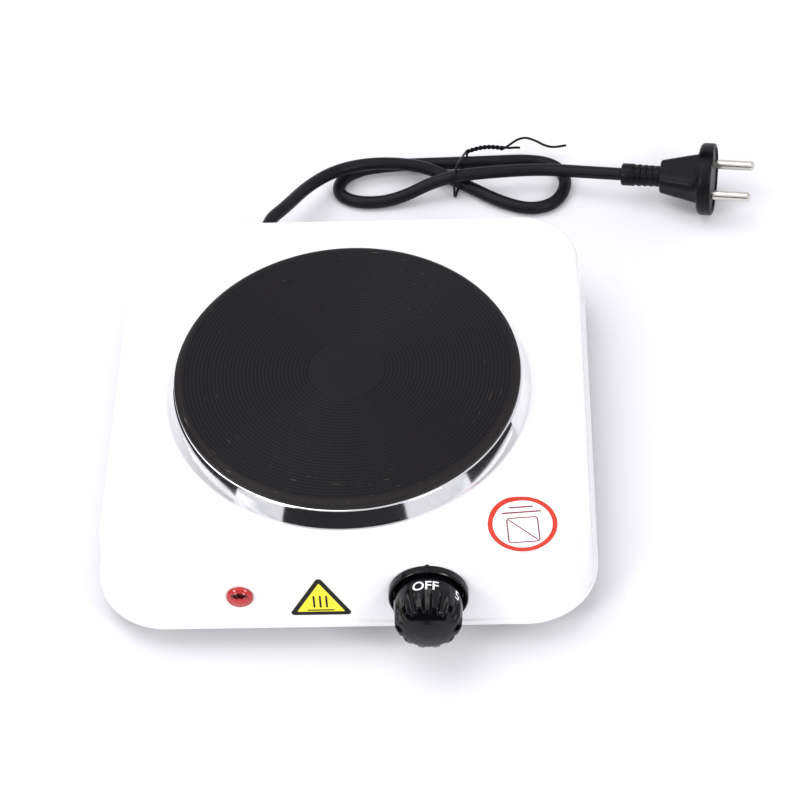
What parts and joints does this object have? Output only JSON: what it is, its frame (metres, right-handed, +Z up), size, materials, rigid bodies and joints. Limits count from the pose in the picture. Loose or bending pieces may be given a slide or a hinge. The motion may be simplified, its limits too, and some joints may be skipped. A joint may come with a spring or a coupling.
{
  "type": "hot plate burner",
  "caption": "Portable electric hot plate: square white steel box, round cast-iron plate in a chrome ring, thermostat knob, pilot lamp, tied mains lead with two-pin plug.",
  "frame": {"origin": "on the surface the feet stand on, under the middle of the box that holds everything but the lead", "axes": "+Z up, +Y to the rear where the lead leaves, +X to the right seen from the knob"},
  "size_m": [0.3067, 0.334, 0.0593],
  "materials": {
    "white_enamel": "smooth gloss white stoving enamel on pressed steel",
    "zinc_steel": "zinc-plated mild steel",
    "foot_rubber": "moulded black rubber",
    "plate_iron": "turned cast iron with a black heat-proof coating",
    "ring_chrome": "bright chromed steel",
    "coil_wire": "oxidised heating alloy",
    "ceramic": "unglazed white ceramic",
    "aluminium_sheet": "mill-finish aluminium sheet",
    "contact_brass": "rolled brass",
    "bimetal": "bright bimetal strip",
    "knob_black": "gloss black phenolic",
    "lamp_red": "clear red moulded plastic",
    "bulb_glass": "clear glass",
    "lamp_plastic": "off-white moulded plastic",
    "label_yellow": "printed film label",
    "label_red": "printed film label",
    "cord_rubber": "soft black sheath",
    "plug_plastic": "moulded black plastic",
    "pin_nickel": "nickel-plated brass",
    "tie_black": "black plastic-covered wire",
    "wire_brown": "brown heat-proof insulation",
    "wire_blue": "blue heat-proof insulation",
    "fuse_case": "glass-fibre sleeve"
  },
  "bodies": {
    "housing": {"bar_nut": "zinc_steel", "bar_washer": "zinc_steel", "base_cover": "zinc_steel", "bezel_screws": "zinc_steel", "bimetal_strip": "bimetal", "caution_label": "label_red", "centre_stud": "zinc_steel", "clamp_bar": "zinc_steel", "contact_arm": "contact_brass", "cooking_plate": "plate_iron", "cord_relief": "cord_rubber", "cord_saddle": "lamp_plastic", "cord_tail": "cord_rubber", "cover_nut": "zinc_steel", "element_cover": "zinc_steel", "element_pins": "zinc_steel", "fixed_contact": "contact_brass", "foot_front_left": "foot_rubber", "foot_front_right": "foot_rubber", "foot_rear_left": "foot_rubber", "foot_rear_right": "foot_rubber", "foot_screws": "zinc_steel", "fuse_wire": "wire_blue", "heat_label": "label_yellow", "heat_shield": "aluminium_sheet", "inner_heating_coil": "coil_wire", "insulation_cement": "ceramic", "knob_bezel": "knob_black", "lamp_cap": "lamp_plastic", "lamp_lens": "lamp_red", "lamp_retainer": "zinc_steel", "live_core": "wire_brown", "live_wire": "wire_brown", "middle_heating_coil": "coil_wire", "neon_bulb": "bulb_glass", "neutral_core": "wire_blue", "neutral_wire": "wire_blue", "outer_heating_coil": "coil_wire", "pin_beads": "ceramic", "plug_body": "plug_plastic", "plug_pins": "pin_nickel", "power_cord": "cord_rubber", "saddle_screws": "zinc_steel", "screw_pillars": "zinc_steel", "shield_nut": "zinc_steel", "stack_insulators": "ceramic", "stack_rivet": "zinc_steel", "switched_wire": "wire_brown", "terminal_block": "ceramic", "terminal_inserts": "contact_brass", "terminal_screws": "zinc_steel", "thermal_fuse": "fuse_case", "thermostat_bracket": "zinc_steel", "top_shell": "white_enamel", "trim_ring": "ring_chrome", "twist_tie": "tie_black"},
    "dial": {"knob": "knob_black", "knob_clip": "zinc_steel", "thermostat_shaft": "zinc_steel"},
    "plunger": {"thermostat_plunger": "ceramic"}
  },
  "joints": [
    {"name": "dial_turn", "type": "hinge", "parent": "housing", "child": "dial", "pos_m": [0.0362, -0.09739, 0.033], "axis": [0, 0.9962, -0.0872], "range_deg": [0, 300]},
    {"name": "plunger_slide", "type": "slide", "parent": "housing", "child": "plunger", "axis": [0, 0.9962, -0.0872], "range_m": [0, 0.00125]}
  ],
  "couplings": [
    {"joint": "plunger_slide", "follows": "dial_turn", "m_per_rad": 0.00022918}
  ]
}
